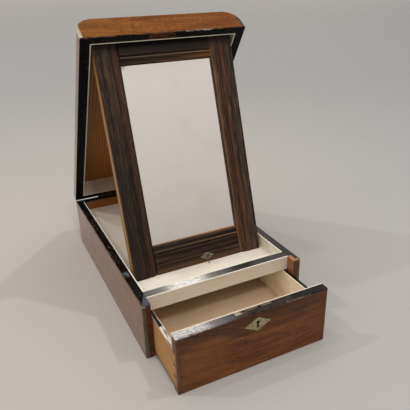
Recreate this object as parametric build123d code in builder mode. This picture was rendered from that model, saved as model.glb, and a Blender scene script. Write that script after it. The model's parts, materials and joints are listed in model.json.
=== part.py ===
"""Antique fitted dressing box.

A deep narrow case holds a drawer below a shallow tray. A box lid is hinged to its back.
A mirror frame hangs on two pins inside the lid's front edge: with the lid propped open
its foot stands in the tray, and with the lid raised it folds flat into the lid.

Millimetres, +Z up, the front faces -Y. The origin is the centre of the case's underside.
Every piece is drawn where it stands in use: lid propped open, drawer part way out.
"""
from build123d import *
from math import cos, radians, sin, tan
import os

# ---------------------------------------------------------------- driving dimensions
case_width = 200.0
case_depth = 305.0
case_height = 70.0
lid_height = 31.0
lid_edge_radius = 20.0          # rounding along the lid's two long edges
lid_gap = 0.4                   # between the case's rim and the closed lid's rim
lid_open_angle = 55.7           # from closed, with the mirror standing in the tray
mirror_lean = 72.87             # mirror to the tray floor
drawer_pull = 64.0              # how far the drawer stands open

# boards of the case
side_thickness = 9.5
back_thickness = 9.5
back_lap = 3.5                  # side wood left outside the back board
bottom_thickness = 4.0
housing_depth = 3.0             # how deep the boards are let into each other
tray_depth = 14.4
tray_floor_thickness = 3.3
rail_setback = 12.0             # front rail behind the case's front
rail_core_thickness = 10.6
lining_thickness = 1.2          # maple lining of tray, lid and drawer
banding_thickness = 1.6         # ebonised banding on the rims
string_size = 3.6               # square pale stringing let into the corners

# drawer
drawer_side_gap = 1.0
drawer_top_gap = 0.9
drawer_running_gap = 0.3        # drawer sides above the case's bottom board
drawer_front_lift = 0.6         # drawer front above the ground
drawer_back_gap = 3.0
drawer_front_core = 9.6
drawer_side_thickness = 4.3
drawer_back_thickness = 5.0
drawer_back_drop = 4.0          # drawer back below the drawer sides
drawer_bottom_thickness = 3.0
drawer_bottom_height = 2.5      # underside of the bottom above the sides' lower edge
drawer_groove_depth = 2.0
drawer_edging_thickness = 1.2
dovetail_count = 3
dovetail_length = 6.4           # lapped dovetails in the drawer front
dovetail_pin = 3.6              # wood between two tails at their wide ends
dovetail_angle = 10.0

# lock in the drawer front
selvedge_length = 44.0
selvedge_width = 5.6
selvedge_thickness = 1.6
lock_length = 38.0
lock_height = 26.0
lock_thickness = 5.0
lock_wall = 0.8
hook_slot_length = 4.4
hook_slot_width = 2.4
hook_slot_left = -12.0          # the two slots for the lid plate's hooks, from the middle
hook_slot_right = 7.0
bolt_thickness = 1.8
bolt_bar_height = 4.0
bolt_hook_height = 3.0
bolt_hook_width = 1.6
bolt_left_gap = 2.0             # between the drawn bolt and the ends of its case
bolt_right_gap = 4.0
bolt_talon_radius = 1.4         # notch in the bolt that the key turns in
bolt_drop = 2.0                 # bolt's hooks below the selvedge plate
escutcheon_width = 31.0
escutcheon_height = 16.6
escutcheon_thickness = 1.2
escutcheon_drop = 15.4          # its middle below the rim
keyhole_radius = 1.9
keyhole_length = 8.4
keyhole_waist = 1.4
keyhole_foot = 2.4
key_post_radius = 0.8
key_offset = 1.8                # keyhole right of the middle
front_nail_radius = 1.0         # punched nail hole low at the left of the drawer front
front_nail_depth = 2.0
front_nail_inset = 4.4
front_nail_height = 22.6
cap_hole_radius = 0.7           # nail hole in the drawer front's ebonised cap
cap_hole_offset = -48.0
cap_hole_setback = 6.4

# lid
lid_side_thickness = 11.0
lid_front_thickness = 7.8
lid_panel_thickness = 5.5

# butt hinges between lid and case
hinge_length = 30.0
hinge_inset = 35.0              # from the side of the case
hinge_setback = 0.85            # its axis behind the case's back
leaf_width = 6.5
knuckle_radius = 2.2
knuckle_gap = 0.3               # between two knuckles, and round them in their hollow
hinge_pin_radius = 0.8
running_clearance = 0.05        # radial, round hinge pins and mirror pins
screw_head_radius = 1.5
screw_shank_radius = 0.8
screw_length = 6.0
screw_inset = 7.0               # screw from the end of its leaf

# mirror frame
mirror_side_gap = 2.8           # between the frame and the lid's linings
mirror_thickness = 14.0
stile_width = 28.5
top_rail_width = 28.5
bottom_rail_width = 36.5
moulding_width = 10.5
moulding_drop = 0.5             # top of the moulding below the flat
moulding_fall = 2.4             # its curve's fall to the sight edge
moulding_sag = 1.0              # swell of the curve
quirk_width = 1.2               # groove between the flat and the moulding
quirk_depth = 1.3
rail_drop = 1.4                 # flats of the rails behind the flats of the stiles
tenon_length = 14.0
tenon_thickness = 4.0
tenon_shoulder = 6.0
glass_recess = 5.0              # glass behind the face of the frame
glass_thickness = 3.0
glass_rebate = 4.0
glass_margin = 0.4              # glass and backboard inside their rebate
backboard_thickness = 3.0
backboard_bevel = 1.0
pivot_setback = 20.9            # mirror pins behind the lid's front face
pivot_height = 8.5              # and above the lid's rim
pivot_from_top = 6.0            # and below the mirror's top edge
mirror_pin_radius = 1.5
mirror_pin_in_lid = 5.0
mirror_pin_in_frame = 10.0
foot_gap = 0.3                  # mirror's foot above the tray floor
plate_length = 18.5
plate_height = 8.8
plate_thickness = 0.7
plate_offset = 10.4             # right of the middle
plate_from_foot = 8.0
plate_pin_spacing = 10.6
plate_pin_radius = 0.9
stop_nail_radius = 0.7
stop_nail_head_radius = 1.0
stop_nail_head = 0.5
stop_nail_height = 1.3
stop_nail_gap = 2.2             # in front of the mirror's foot

# ---------------------------------------------------------------- derived places
right = case_width / 2
front = -case_depth / 2
back = case_depth / 2
inner = right - side_thickness
back_inner = back - back_thickness
banding_low = case_height - banding_thickness
tray_top = case_height - tray_depth
tray_under = tray_top - tray_floor_thickness
rail_front = front + rail_setback
rail_core_front = rail_front + lining_thickness
rail_core_back = rail_core_front + rail_core_thickness
rail_back = rail_core_back + lining_thickness

leaf_thickness = banding_thickness   # the leaves are let in right through the bandings
hinge_y = back + hinge_setback
hinge_z = case_height + lid_gap / 2

drawer_right = inner - drawer_side_gap
drawer_core_back = front + drawer_front_core
drawer_front_back = drawer_core_back + lining_thickness
drawer_board_inner = drawer_right - drawer_side_thickness
drawer_low = bottom_thickness + drawer_running_gap
drawer_side_top = tray_under - drawer_top_gap
drawer_board_top = drawer_side_top - drawer_edging_thickness
drawer_end = back_inner - drawer_back_gap
drawer_back_front = drawer_end - drawer_back_thickness
drawer_floor_low = drawer_low + drawer_bottom_height
drawer_floor = drawer_floor_low + drawer_bottom_thickness

selvedge_low = case_height - selvedge_thickness
lock_front = drawer_core_back - lock_thickness
lock_low = selvedge_low - lock_height
escutcheon_z = case_height - escutcheon_drop
keyhole_top = escutcheon_z + keyhole_length / 2
key_post_z = keyhole_top - keyhole_radius
bolt_top = selvedge_low - bolt_drop
bolt_bar_top = bolt_top - bolt_hook_height
bolt_front = lock_front + (lock_thickness - bolt_thickness) / 2

lid_wall_inner = right - lid_side_thickness
lid_lining_inner = lid_wall_inner - lining_thickness
lid_front_inner = front + lid_front_thickness
lid_back_inner = back - lid_front_thickness
lid_recess = lid_height - lid_panel_thickness

mirror_side = lid_lining_inner - mirror_side_gap
mirror_face = mirror_thickness / 2
mirror_sight = mirror_side - stile_width
glass_face = mirror_face - glass_recess
foot_z = tray_top + foot_gap


# ---------------------------------------------------------------- places and planes
def swung(angle, pivot_y, pivot_z, y, z):
    """The level plane through (y, z), swung up and back by an angle about a crosswise pivot."""
    dy, dz = y - pivot_y, z - pivot_z
    c, s = cos(radians(angle)), sin(radians(angle))
    return Plane(
        origin=(0, pivot_y + dy * c + dz * s, pivot_z - dy * s + dz * c),
        x_dir=(1, 0, 0),
        z_dir=(0, s, c),
    )


def front_view(base, depth):
    """Upright plane across a base: x runs across, y runs up, and it faces the front."""
    return Plane(base.from_local_coords(Vector(0, depth, 0)), base.x_dir, -base.y_dir)


def side_view(base, across):
    """Upright plane along a base: x runs to the back, y runs up, and it faces right."""
    return Plane(base.from_local_coords(Vector(across, 0, 0)), base.y_dir, base.x_dir)


CASE = Plane.XY
DRAWER = Plane((0, -drawer_pull, 0), (1, 0, 0), (0, 0, 1))
LID = swung(lid_open_angle, hinge_y, hinge_z, 0, case_height + lid_gap)
lean_sin, lean_cos = sin(radians(mirror_lean)), cos(radians(mirror_lean))
pivot = LID.from_local_coords(Vector(0, front + pivot_setback, pivot_height))
MIRROR = Plane(pivot, (1, 0, 0), (0, -lean_sin, lean_cos))
foot_y = (foot_z - pivot.Z - mirror_face * lean_cos) / lean_sin
foot_edge = MIRROR.from_local_coords(Vector(0, foot_y, mirror_face))
SIDES = (("left", -1), ("right", 1))


# ---------------------------------------------------------------- drawing helpers
def rect(x0, x1, y0, y1, mode=Mode.ADD):
    """A rectangle between bounds, in the sketch being drawn."""
    with Locations(((x0 + x1) / 2, (y0 + y1) / 2)):
        Rectangle(abs(x1 - x0), abs(y1 - y0), mode=mode)


def cut(plane, amount, x0, x1, y0, y1):
    """A rectangular recess cut into the part being built."""
    with BuildSketch(plane) as outline:
        rect(x0, x1, y0, y1)
    extrude(outline.sketch, amount=amount, mode=Mode.SUBTRACT)


def bore(plane, radius, depth, x, y):
    """A round hole cut into the part being built."""
    with BuildSketch(plane) as outline:
        with Locations((x, y)):
            Circle(radius)
    extrude(outline.sketch, amount=depth, mode=Mode.SUBTRACT)


def leaf_span(hand):
    """Outer and inner end of a hinge, across the case."""
    outer_end = right - hinge_inset
    return hand * outer_end, hand * (outer_end - hinge_length)


def screw_places():
    """Across and depth of every hinge screw."""
    steps = (screw_inset, hinge_length - screw_inset)
    return [(hand * (right - hinge_inset - step), back - leaf_width / 2)
            for hand in (-1, 1) for step in steps]


def knuckle_hollow(base, axis_z, outer_end, inner_end):
    """The hollow in a back edge that the knuckles turn in, cut into the part being built."""
    bore(side_view(base, outer_end), knuckle_radius + knuckle_gap, inner_end - outer_end,
         hinge_y, axis_z)


def keep(piece, name):
    """Name a finished piece and write it to its own file."""
    piece.part.label = name
    export_step(piece.part, f"parts/{name}.step")


os.makedirs("parts", exist_ok=True)


# ---------------------------------------------------------------- case boards
def case_side(name, hand):
    """Side board, rebated for the back, the bottom and the corner string."""
    with BuildPart() as side:
        with BuildSketch(side_view(CASE, hand * inner)):
            rect(front, back, 0, banding_low)
        extrude(amount=hand * side_thickness)
        groove = side_view(CASE, hand * inner)
        cut(groove, hand * housing_depth, rail_core_front, back, tray_under, tray_top)
        cut(groove, hand * housing_depth, rail_front, back, 0, bottom_thickness)
        cut(groove, hand * (side_thickness - back_lap), back_inner, back, 0, banding_low)
        with BuildSketch(CASE):
            rect(hand * right, hand * (right - string_size), front, front + string_size)
        extrude(amount=banding_low, mode=Mode.SUBTRACT)
    keep(side, f"case_{name}_side")


for side_name, side_hand in SIDES:
    case_side(side_name, side_hand)

with BuildPart() as case_back:
    with BuildSketch(CASE):
        rect(back_lap - right, right - back_lap, back_inner, back)
    extrude(amount=banding_low)
    inside = front_view(CASE, back_inner)
    cut(inside, -housing_depth, -right, right, tray_under, tray_top)
    cut(inside, -housing_depth, -right, right, 0, bottom_thickness)
    for place in screw_places():
        bore(CASE.offset(banding_low), screw_shank_radius, -screw_length, *place)
    for hand in (-1, 1):
        knuckle_hollow(CASE, hinge_z, *leaf_span(hand))
keep(case_back, "case_back")

with BuildPart() as case_bottom:
    with BuildSketch(CASE):
        rect(-inner - housing_depth, inner + housing_depth, rail_front, back_inner + housing_depth)
    extrude(amount=bottom_thickness)
keep(case_bottom, "case_bottom")

with BuildPart() as tray_floor:
    with BuildSketch(CASE.offset(tray_under)):
        rect(-inner - housing_depth, inner + housing_depth,
             rail_core_front, back_inner + housing_depth)
    extrude(amount=tray_floor_thickness)
    bore(CASE.offset(tray_top), stop_nail_radius, -tray_floor_thickness,
         plate_offset, foot_edge.Y - stop_nail_gap)
keep(tray_floor, "tray_floor")

with BuildPart() as front_rail:
    with BuildSketch(CASE.offset(tray_top)):
        rect(-inner, inner, rail_core_front, rail_core_back)
    extrude(amount=banding_low - tray_top)
keep(front_rail, "front_rail")

# ---------------------------------------------------------------- case linings and rims
with BuildPart() as rail_facing:
    with BuildSketch(CASE.offset(tray_under)):
        rect(-inner, inner, rail_front, rail_core_front)
    extrude(amount=case_height - tray_under)
keep(rail_facing, "rail_facing")

with BuildPart() as rail_cap:
    with BuildSketch(CASE.offset(banding_low)):
        rect(-inner, inner, rail_core_front, rail_core_back)
    extrude(amount=banding_thickness)
keep(rail_cap, "rail_cap")

with BuildPart() as tray_lining_front:
    with BuildSketch(CASE.offset(tray_top)):
        rect(lining_thickness - inner, inner - lining_thickness, rail_core_back, rail_back)
    extrude(amount=tray_depth)
keep(tray_lining_front, "tray_lining_front")

for side_name, side_hand in SIDES:
    with BuildPart() as tray_lining:
        with BuildSketch(CASE.offset(tray_top)):
            rect(side_hand * inner, side_hand * (inner - lining_thickness),
                 rail_core_back, back_inner)
        extrude(amount=tray_depth)
    keep(tray_lining, f"tray_lining_{side_name}")

for side_name, side_hand in SIDES:
    with BuildPart() as case_rim:
        with BuildSketch(CASE.offset(banding_low)):
            Polygon(
                (side_hand * right, front), (side_hand * inner, front),
                (side_hand * inner, back_inner), (side_hand * right, back),
                align=None,
            )
        extrude(amount=banding_thickness)
    keep(case_rim, f"case_rim_{side_name}")

with BuildPart() as case_strings:
    with BuildSketch(CASE):
        for hand in (-1, 1):
            rect(hand * right, hand * (right - string_size), front, front + string_size)
    extrude(amount=banding_low)
keep(case_strings, "case_corner_strings")


# ---------------------------------------------------------------- hinges
with BuildPart() as case_rim_back:
    with BuildSketch(CASE.offset(banding_low)):
        Polygon((-right, back), (right, back), (inner, back_inner), (-inner, back_inner), align=None)
    extrude(amount=banding_thickness)
    for hand in (-1, 1):
        cut(CASE.offset(case_height), -leaf_thickness, *leaf_span(hand), back - leaf_width, back)
keep(case_rim_back, "case_rim_back")


def hinge_leaves(name, base, low, high, rim, axis_z, knuckles, bore_radius, outward):
    """A pair of leaves let into a rim, with their knuckles rolled round the pin."""
    knuckle = hinge_length / 3
    with BuildPart() as leaves:
        for hand in (-1, 1):
            outer_end, inner_end = leaf_span(hand)
            with BuildSketch(base.offset(low)):
                rect(outer_end, inner_end, back - leaf_width, back)
            extrude(amount=high - low)
            knuckle_hollow(base, axis_z, outer_end, inner_end)
            for step in knuckles:
                start = outer_end - hand * (step * knuckle + knuckle_gap / 2)
                with BuildSketch(base.offset(low)):
                    rect(start, start - hand * (knuckle - knuckle_gap),
                         back - knuckle_radius, hinge_y)
                extrude(amount=high - low)
                with BuildSketch(side_view(base, start)):
                    with Locations((hinge_y, axis_z)):
                        Circle(knuckle_radius)
                extrude(amount=-hand * (knuckle - knuckle_gap))
            bore(side_view(base, outer_end), bore_radius, -hand * hinge_length, hinge_y, axis_z)
        for across, depth in screw_places():
            with Locations(Plane(base.from_local_coords(Vector(across, depth, rim)),
                                 base.x_dir, outward * base.z_dir)):
                Cone(screw_shank_radius, screw_head_radius, leaf_thickness,
                     align=(Align.CENTER, Align.CENTER, Align.MAX), mode=Mode.SUBTRACT)
    keep(leaves, name)


def hinge_screws(name, base, rim, outward):
    """Countersunk wood screws that hold the leaves."""
    with BuildPart() as screws:
        for across, depth in screw_places():
            with BuildSketch(side_view(base, across)) as outline:
                with BuildLine():
                    Polyline(
                        (depth, rim),
                        (depth + screw_head_radius, rim),
                        (depth + screw_shank_radius, rim - outward * leaf_thickness),
                        (depth + screw_shank_radius, rim - outward * screw_length),
                        (depth, rim - outward * screw_length),
                        close=True,
                    )
                make_face()
            axis = Axis(base.from_local_coords(Vector(across, depth, rim)), base.z_dir)
            revolve(outline.sketch, axis=axis)
    keep(screws, name)


hinge_leaves("case_hinge_leaves", CASE, case_height - leaf_thickness, case_height, case_height,
             hinge_z, (0, 2), hinge_pin_radius, 1)
hinge_leaves("lid_hinge_leaves", LID, 0, leaf_thickness, 0,
             -lid_gap / 2, (1,), hinge_pin_radius + running_clearance, -1)
hinge_screws("case_hinge_screws", CASE, case_height, 1)
hinge_screws("lid_hinge_screws", LID, 0, -1)

with BuildPart() as hinge_pins:
    for hand in (-1, 1):
        with BuildSketch(side_view(CASE, leaf_span(hand)[0])):
            with Locations((hinge_y, hinge_z)):
                Circle(hinge_pin_radius)
        extrude(amount=-hand * hinge_length)
keep(hinge_pins, "hinge_pins")

with BuildPart() as stop_nail:
    with BuildSketch(CASE.offset(tray_under)):
        with Locations((plate_offset, foot_edge.Y - stop_nail_gap)):
            Circle(stop_nail_radius)
    extrude(amount=tray_floor_thickness + stop_nail_height)
    with BuildSketch(CASE.offset(tray_top + stop_nail_height - stop_nail_head)):
        with Locations((plate_offset, foot_edge.Y - stop_nail_gap)):
            Circle(stop_nail_head_radius)
    extrude(amount=stop_nail_head)
keep(stop_nail, "tray_stop_nail")


# ---------------------------------------------------------------- drawer
def dovetails(joint, tip, low, high):
    """Tail outlines from the joint line to their wide tips, in the sketch being drawn."""
    pitch = (high - low) / dovetail_count
    flare = abs(tip - joint) * tan(radians(dovetail_angle))
    for step in range(dovetail_count):
        middle = low + (step + 0.5) * pitch
        wide = (pitch - dovetail_pin) / 2
        narrow = wide - flare
        Polygon((joint, middle - narrow), (tip, middle - wide),
                (tip, middle + wide), (joint, middle + narrow), align=None)


tail_tip = drawer_core_back - dovetail_length
drawer_back_top = drawer_board_top - drawer_back_drop

for side_name, side_hand in SIDES:
    with BuildPart() as drawer_side:
        with BuildSketch(side_view(DRAWER, side_hand * drawer_board_inner)):
            rect(drawer_core_back, drawer_end, drawer_low, drawer_board_top)
            rect(drawer_back_front, drawer_end, drawer_floor, drawer_back_top, mode=Mode.SUBTRACT)
            dovetails(drawer_core_back, tail_tip, drawer_low, drawer_board_top)
            dovetails(drawer_back_front, drawer_end, drawer_floor, drawer_back_top)
        extrude(amount=side_hand * drawer_side_thickness)
        cut(side_view(DRAWER, side_hand * drawer_board_inner), side_hand * drawer_groove_depth,
            tail_tip, drawer_end, drawer_floor_low, drawer_floor)
    keep(drawer_side, f"drawer_{side_name}_side")

    with BuildPart() as drawer_lining:
        with BuildSketch(side_view(DRAWER, side_hand * drawer_board_inner)):
            rect(drawer_front_back, drawer_back_front, drawer_floor, drawer_side_top)
        extrude(amount=-side_hand * lining_thickness)
    keep(drawer_lining, f"drawer_lining_{side_name}")

    with BuildPart() as drawer_edging:
        with BuildSketch(side_view(DRAWER, side_hand * drawer_board_inner)):
            rect(drawer_core_back, drawer_end, drawer_board_top, drawer_side_top)
        extrude(amount=side_hand * drawer_side_thickness)
    keep(drawer_edging, f"drawer_edging_{side_name}")

with BuildPart() as drawer_back:
    with BuildSketch(DRAWER.offset(drawer_floor)):
        rect(-drawer_right, drawer_right, drawer_back_front, drawer_end)
    extrude(amount=drawer_back_top - drawer_floor)
    for hand in (-1, 1):
        with BuildSketch(side_view(DRAWER, hand * drawer_board_inner)):
            dovetails(drawer_back_front, drawer_end, drawer_floor, drawer_back_top)
        extrude(amount=hand * drawer_side_thickness, mode=Mode.SUBTRACT)
keep(drawer_back, "drawer_back")

with BuildPart() as drawer_bottom:
    with BuildSketch(DRAWER.offset(drawer_floor_low)):
        rect(-drawer_board_inner - drawer_groove_depth, drawer_board_inner + drawer_groove_depth,
             drawer_core_back, drawer_end)
        rect(-drawer_board_inner, drawer_board_inner,
             drawer_core_back - drawer_groove_depth, drawer_core_back)
    extrude(amount=drawer_bottom_thickness)
keep(drawer_bottom, "drawer_bottom")


def keyhole():
    """Round above a slot that widens to its foot, in the sketch being drawn."""
    keyhole_low = keyhole_top - keyhole_length
    with Locations((key_offset, key_post_z)):
        Circle(keyhole_radius)
    with Locations((key_offset, 0)):
        Polygon((-keyhole_waist / 2, key_post_z), (keyhole_waist / 2, key_post_z),
                (keyhole_foot / 2, keyhole_low), (-keyhole_foot / 2, keyhole_low), align=None)


def lozenge(x, y, width, height):
    """A diamond outline, in the sketch being drawn."""
    with Locations((x, y)):
        Polygon((-width / 2, 0), (0, -height / 2), (width / 2, 0), (0, height / 2))


with BuildPart() as drawer_front:
    with BuildSketch(front_view(DRAWER, drawer_core_back)):
        rect(-drawer_right, drawer_right, drawer_front_lift, banding_low)
    extrude(amount=drawer_front_core)
    for hand in (-1, 1):
        with BuildSketch(side_view(DRAWER, hand * drawer_board_inner)):
            dovetails(drawer_core_back, tail_tip, drawer_low, drawer_board_top)
        extrude(amount=hand * drawer_side_thickness, mode=Mode.SUBTRACT)
    cut(front_view(DRAWER, drawer_core_back), drawer_groove_depth,
        -drawer_board_inner, drawer_board_inner, drawer_floor_low, drawer_floor)
    cut(front_view(DRAWER, drawer_core_back), lock_thickness,
        -lock_length / 2, lock_length / 2, lock_low, banding_low)
    cut(front_view(DRAWER, drawer_core_back), selvedge_width,
        -selvedge_length / 2, selvedge_length / 2, selvedge_low, case_height)
    with BuildSketch(front_view(DRAWER, front)):
        lozenge(key_offset, escutcheon_z, escutcheon_width, escutcheon_height)
    extrude(amount=-escutcheon_thickness, mode=Mode.SUBTRACT)
    with BuildSketch(front_view(DRAWER, front)):
        keyhole()
    extrude(amount=-drawer_front_core, mode=Mode.SUBTRACT)
    bore(front_view(DRAWER, front), front_nail_radius, -front_nail_depth,
         front_nail_inset - drawer_right, front_nail_height)
keep(drawer_front, "drawer_front")

with BuildPart() as drawer_front_cap:
    with BuildSketch(DRAWER.offset(banding_low)):
        rect(-drawer_right, drawer_right, front, drawer_core_back)
    extrude(amount=banding_thickness)
    cut(front_view(DRAWER, drawer_core_back), selvedge_width,
        -selvedge_length / 2, selvedge_length / 2, selvedge_low, case_height)
    bore(DRAWER.offset(banding_low), cap_hole_radius, banding_thickness,
         cap_hole_offset, front + cap_hole_setback)
keep(drawer_front_cap, "drawer_front_cap")

with BuildPart() as drawer_lining_front:
    with BuildSketch(front_view(DRAWER, drawer_front_back)):
        rect(-drawer_board_inner, drawer_board_inner, drawer_floor, drawer_side_top)
        rect(-drawer_right, drawer_right, drawer_side_top, case_height)
    extrude(amount=lining_thickness)
keep(drawer_lining_front, "drawer_lining_front")

# ---------------------------------------------------------------- lock
with BuildPart() as lock_selvedge:
    with BuildSketch(DRAWER.offset(selvedge_low)):
        rect(-selvedge_length / 2, selvedge_length / 2,
             drawer_core_back - selvedge_width, drawer_core_back)
        for slot in (hook_slot_left, hook_slot_right):
            with Locations((slot, drawer_core_back - lock_thickness / 2)):
                SlotOverall(hook_slot_length, hook_slot_width, mode=Mode.SUBTRACT)
    extrude(amount=selvedge_thickness)
keep(lock_selvedge, "lock_selvedge")

with BuildPart() as lock_case:
    with BuildSketch(DRAWER.offset(lock_low)):
        rect(-lock_length / 2, lock_length / 2, lock_front, drawer_core_back)
    extrude(amount=lock_height)
    offset(amount=-lock_wall, openings=lock_case.faces().sort_by(Axis.Z)[-1])
    with BuildSketch(front_view(DRAWER, lock_front)):
        keyhole()
    extrude(amount=-lock_wall, mode=Mode.SUBTRACT)
keep(lock_case, "lock_case")

with BuildPart() as lock_key_post:
    with BuildSketch(front_view(DRAWER, drawer_core_back - lock_wall)):
        with Locations((key_offset, key_post_z)):
            Circle(key_post_radius)
    extrude(amount=lock_thickness)
keep(lock_key_post, "lock_key_post")

with BuildPart() as lock_bolt:
    case_end = lock_length / 2 - lock_wall
    with BuildSketch(front_view(DRAWER, bolt_front + bolt_thickness)):
        rect(bolt_left_gap - case_end, case_end - bolt_right_gap,
             bolt_bar_top - bolt_bar_height, bolt_bar_top)
        with Locations((key_offset, bolt_bar_top - bolt_bar_height)):
            Circle(bolt_talon_radius, mode=Mode.SUBTRACT)
        for slot in (hook_slot_left, hook_slot_right):
            stem = slot - hook_slot_length / 2 - bolt_hook_width
            rect(stem, stem + bolt_hook_width, bolt_bar_top, bolt_top)
            rect(stem, stem + bolt_hook_width * 2, bolt_top - bolt_hook_width / 2, bolt_top)
    extrude(amount=bolt_thickness)
keep(lock_bolt, "lock_bolt")

with BuildPart() as keyhole_escutcheon:
    with BuildSketch(front_view(DRAWER, front + escutcheon_thickness)):
        lozenge(key_offset, escutcheon_z, escutcheon_width, escutcheon_height)
        with BuildSketch(mode=Mode.SUBTRACT):
            keyhole()
    extrude(amount=escutcheon_thickness)
keep(keyhole_escutcheon, "keyhole_escutcheon")


# ---------------------------------------------------------------- lid
def lid_section(x0, x1, low, high):
    """The part of the lid's rounded outline between bounds, in the sketch being drawn."""
    outline = Rectangle(case_width, lid_height, align=(Align.CENTER, Align.MIN))
    fillet(outline.vertices().group_by(Axis.Y)[-1], radius=lid_edge_radius)
    rect(x0, x1, low, high, mode=Mode.INTERSECT)


with BuildPart() as lid_front_wall:
    with BuildSketch(front_view(LID, lid_front_inner)):
        lid_section(-right, right, banding_thickness, lid_height)
    extrude(amount=lid_front_thickness)
    for hand in (-1, 1):
        cut(LID.offset(banding_thickness), lid_height,
            hand * right, hand * (right - string_size), front, front + string_size)
keep(lid_front_wall, "lid_front_wall")

with BuildPart() as lid_strings:
    for hand in (-1, 1):
        with BuildSketch(front_view(LID, front + string_size)):
            lid_section(hand * right, hand * (right - string_size), banding_thickness, lid_height)
        extrude(amount=string_size)
keep(lid_strings, "lid_corner_strings")

with BuildPart() as lid_back_wall:
    with BuildSketch(front_view(LID, back)):
        lid_section(-right, right, banding_thickness, lid_height)
    extrude(amount=lid_front_thickness)
    for place in screw_places():
        bore(LID.offset(banding_thickness), screw_shank_radius, screw_length, *place)
    for hand in (-1, 1):
        knuckle_hollow(LID, -lid_gap / 2, *leaf_span(hand))
keep(lid_back_wall, "lid_back_wall")

for side_name, side_hand in SIDES:
    with BuildPart() as lid_wall:
        with BuildSketch(front_view(LID, lid_back_inner)):
            lid_section(side_hand * lid_wall_inner, side_hand * right,
                        banding_thickness, lid_height)
        extrude(amount=lid_back_inner - lid_front_inner)
        bore(side_view(LID, side_hand * lid_wall_inner), mirror_pin_radius,
             side_hand * mirror_pin_in_lid, front + pivot_setback, pivot_height)
    keep(lid_wall, f"lid_{side_name}_wall")

    with BuildPart() as lid_lining:
        with BuildSketch(side_view(LID, side_hand * lid_wall_inner)):
            rect(lid_front_inner, lid_back_inner, 0, lid_recess)
            with Locations((front + pivot_setback, pivot_height)):
                Circle(mirror_pin_radius, mode=Mode.SUBTRACT)
        extrude(amount=-side_hand * lining_thickness)
    keep(lid_lining, f"lid_lining_{side_name}")

    with BuildPart() as lid_rim:
        with BuildSketch(LID):
            Polygon(
                (side_hand * right, front), (side_hand * lid_wall_inner, lid_front_inner),
                (side_hand * lid_wall_inner, lid_back_inner), (side_hand * right, back),
                align=None,
            )
        extrude(amount=banding_thickness)
    keep(lid_rim, f"lid_rim_{side_name}")

with BuildPart() as lid_panel:
    with BuildSketch(front_view(LID, lid_back_inner)):
        lid_section(-lid_wall_inner, lid_wall_inner, lid_recess, lid_height)
    extrude(amount=lid_back_inner - lid_front_inner)
keep(lid_panel, "lid_panel")

for end_name, wall_face, depth in (("front", lid_front_inner, 1), ("back", lid_back_inner, -1)):
    with BuildPart() as lid_end_lining:
        with BuildSketch(LID):
            rect(-lid_lining_inner, lid_lining_inner,
                 wall_face, wall_face + depth * lining_thickness)
        extrude(amount=lid_recess)
    keep(lid_end_lining, f"lid_lining_{end_name}")

with BuildPart() as lid_rim_front:
    with BuildSketch(LID):
        Polygon((-right, front), (right, front), (lid_wall_inner, lid_front_inner),
                (-lid_wall_inner, lid_front_inner), align=None)
    extrude(amount=banding_thickness)
keep(lid_rim_front, "lid_rim_front")

with BuildPart() as lid_rim_back:
    with BuildSketch(LID):
        Polygon((-right, back), (right, back), (lid_wall_inner, lid_back_inner),
                (-lid_wall_inner, lid_back_inner), align=None)
    extrude(amount=banding_thickness)
    for hand in (-1, 1):
        cut(LID, leaf_thickness, *leaf_span(hand), back - leaf_width, back)
keep(lid_rim_back, "lid_rim_back")

with BuildPart() as mirror_pins:
    for hand in (-1, 1):
        with BuildSketch(side_view(LID, hand * (lid_wall_inner + mirror_pin_in_lid))):
            with Locations((front + pivot_setback, pivot_height)):
                Circle(mirror_pin_radius)
        reach = lid_wall_inner + mirror_pin_in_lid - mirror_side + mirror_pin_in_frame
        extrude(amount=-hand * reach)
keep(mirror_pins, "mirror_pivot_pins")


# ---------------------------------------------------------------- mirror frame
def frame_section(outer, inward, width, face):
    """Section of a stile or rail from its outer edge: flat, quirk, ovolo and glass rebate."""
    sight = outer + inward * width
    rebate = sight - inward * glass_rebate
    quirk = sight - inward * moulding_width
    curve = quirk + inward * quirk_width
    crest = face - moulding_drop
    with BuildLine() as outline:
        Polyline((sight, glass_face), (rebate, glass_face), (rebate, -mirror_face),
                 (outer, -mirror_face), (outer, face), (quirk, face),
                 (quirk, face - quirk_depth), (curve, face - quirk_depth), (curve, crest))
        SagittaArc((curve, crest), (sight, crest - moulding_fall), inward * moulding_sag)
        Line((sight, crest - moulding_fall), (sight, glass_face))
    make_face(outline.edges())


def behind_glass_lip():
    """Keep only what lies behind the lip in front of the glass, in the sketch being drawn."""
    far = case_depth + lid_height
    rect(-far, far, -mirror_face, glass_face, mode=Mode.INTERSECT)


mirror_length = pivot_from_top - foot_y + mirror_thickness
rebate_side = mirror_sight + glass_rebate
tenon_back = (glass_face - mirror_face - tenon_thickness) / 2
RAILS = (
    ("top", pivot_from_top, -1, top_rail_width),
    ("bottom", foot_y, 1, bottom_rail_width),
)


def tenon_bounds(outer, inward, width):
    """Bounds of a rail's tenon, along the mirror and through its thickness."""
    return (outer + inward * tenon_shoulder, outer + inward * (width - glass_rebate),
            tenon_back, tenon_back + tenon_thickness)


for side_name, side_hand in SIDES:
    with BuildPart() as mirror_stile:
        with BuildSketch(front_view(MIRROR, pivot_from_top)):
            frame_section(side_hand * mirror_side, -side_hand, stile_width, mirror_face)
        extrude(amount=mirror_length)
        split(bisect_by=Plane.XY.offset(foot_z), keep=Keep.TOP)
        bore(side_view(MIRROR, side_hand * mirror_side), mirror_pin_radius + running_clearance,
             -side_hand * (mirror_pin_in_frame + running_clearance), 0, 0)
        for rail_name, outer_y, inward, width in RAILS:
            cut(side_view(MIRROR, side_hand * rebate_side), side_hand * tenon_length,
                *tenon_bounds(outer_y, inward, width))
    keep(mirror_stile, f"mirror_{side_name}_stile")

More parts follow.
